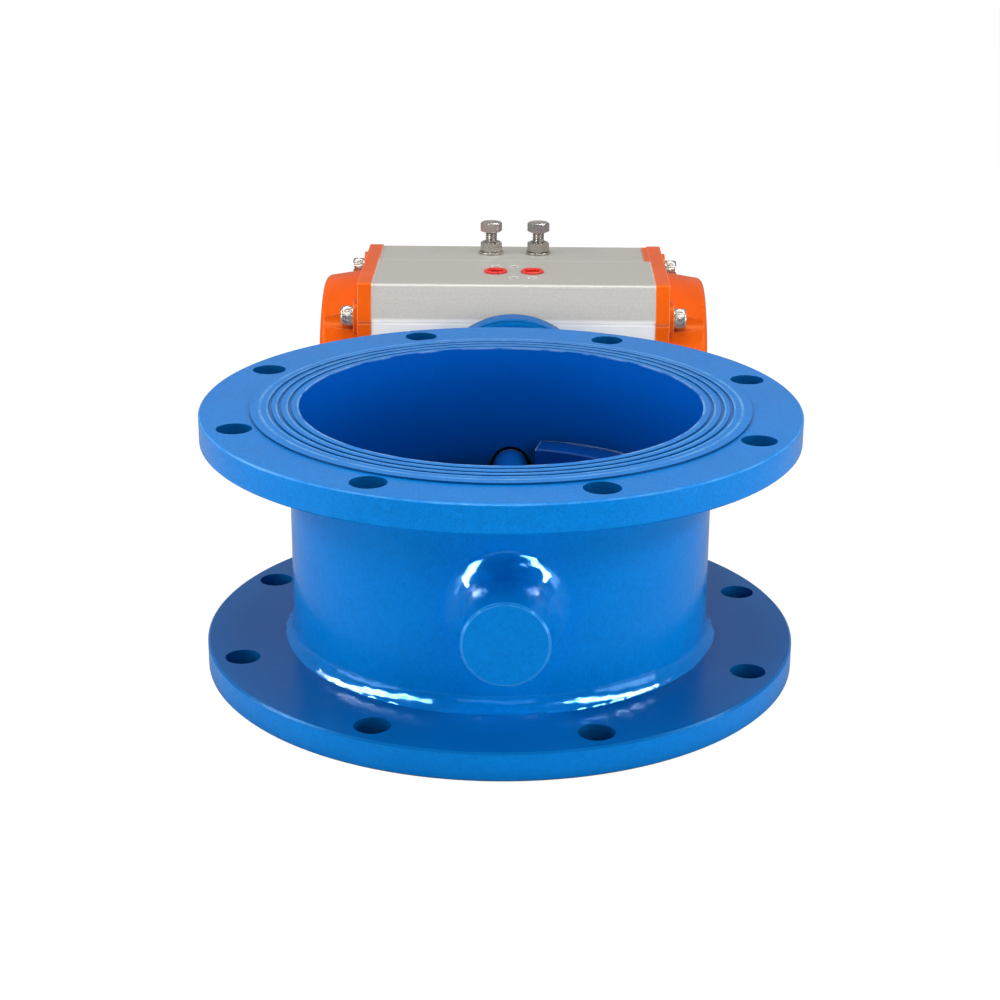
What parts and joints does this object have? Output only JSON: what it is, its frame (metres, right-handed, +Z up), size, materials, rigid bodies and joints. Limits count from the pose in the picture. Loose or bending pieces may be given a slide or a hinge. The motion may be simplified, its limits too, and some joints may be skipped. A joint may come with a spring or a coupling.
{
  "type": "pneumatic actuated valve",
  "caption": "Flanged butterfly valve in a short welded pipe, turned a quarter by a pneumatic rack and pinion actuator bolted to its stem.",
  "frame": {"origin": "centre of the lower flange's bolting face, on the pipe axis", "axes": "+Z up the pipe towards the upper flange, +Y along the stem towards the actuator, +X along the actuator's cylinder"},
  "size_m": [0.31, 0.556, 0.1588],
  "materials": {
    "blue_paint": "gloss blue enamel over welded steel",
    "weld_paint": "gloss blue enamel over weld beads",
    "orange_cap": "semi-gloss orange powder coat on cast aluminium",
    "cylinder_alloy": "hard anodised satin extrusion",
    "piston_alloy": "plain die-cast",
    "stainless": "bright turned stainless",
    "gear_steel": "nickel-plated steel",
    "bronze": "plain bearing bronze",
    "seal_rubber": "nitrile",
    "low_friction": "filled polymer",
    "indicator_orange": "moulded",
    "plug_red": "moulded"
  },
  "bodies": {
    "body": {"body_tube": "blue_paint", "upper_flange": "blue_paint", "lower_flange": "blue_paint", "upper_flange_weld": "weld_paint", "lower_flange_weld": "weld_paint", "blind_boss": "blue_paint", "blind_boss_weld": "weld_paint", "drive_neck": "blue_paint", "drive_neck_weld": "weld_paint", "mounting_flange": "blue_paint", "mounting_flange_weld": "weld_paint", "upper_seat_ledge": "blue_paint", "lower_seat_ledge": "blue_paint", "front_bush": "bronze", "rear_bush": "bronze", "packing_rings": "low_friction", "gland_nut": "bronze", "mount_bolts": "stainless", "cylinder_body": "cylinder_alloy", "left_end_cap": "orange_cap", "right_end_cap": "orange_cap", "left_cap_seal": "seal_rubber", "right_cap_seal": "seal_rubber", "left_cap_screws": "stainless", "right_cap_screws": "stainless", "lower_pinion_bush": "bronze", "upper_pinion_bush": "bronze", "lower_pinion_seal": "seal_rubber", "upper_pinion_seal": "seal_rubber", "thrust_washer": "low_friction", "stop_nuts": "stainless", "stop_washers": "stainless", "port_plugs": "plug_red"},
    "stem": {"disc": "blue_paint", "stem": "stainless", "stem_pins": "stainless", "pinion": "gear_steel", "stop_cam": "gear_steel", "retaining_ring": "gear_steel", "indicator_puck": "indicator_orange", "indicator_screw": "stainless", "drive_adapter": "gear_steel"},
    "right_piston": {"right_piston": "piston_alloy", "right_piston_seal": "seal_rubber", "right_piston_guide": "low_friction"},
    "left_piston": {"left_piston": "piston_alloy", "left_piston_seal": "seal_rubber", "left_piston_guide": "low_friction"},
    "stop_bolt_left": {"stop_bolt_left": "stainless"},
    "stop_bolt_right": {"stop_bolt_right": "stainless"}
  },
  "joints": [
    {"name": "stem_turn", "type": "hinge", "parent": "body", "child": "stem", "pos_m": [0.0045, 0, 0.069], "axis": [0, 1, 0], "range_deg": [0, 90]},
    {"name": "right_piston_slide", "type": "slide", "parent": "body", "child": "right_piston", "axis": [1, 0, 0], "range_m": [0, 0.0283]},
    {"name": "left_piston_slide", "type": "slide", "parent": "body", "child": "left_piston", "axis": [-1, 0, 0], "range_m": [0, 0.0283]},
    {"name": "left_stop_adjust", "type": "slide", "parent": "body", "child": "stop_bolt_left", "axis": [0, 0, 1], "range_m": [0, 0.004]},
    {"name": "right_stop_adjust", "type": "slide", "parent": "body", "child": "stop_bolt_right", "axis": [0, 0, 1], "range_m": [0, 0.004]}
  ],
  "couplings": [
    {"joint": "right_piston_slide", "follows": "stem_turn", "m_per_rad": 0.018},
    {"joint": "left_piston_slide", "follows": "stem_turn", "m_per_rad": 0.018}
  ]
}
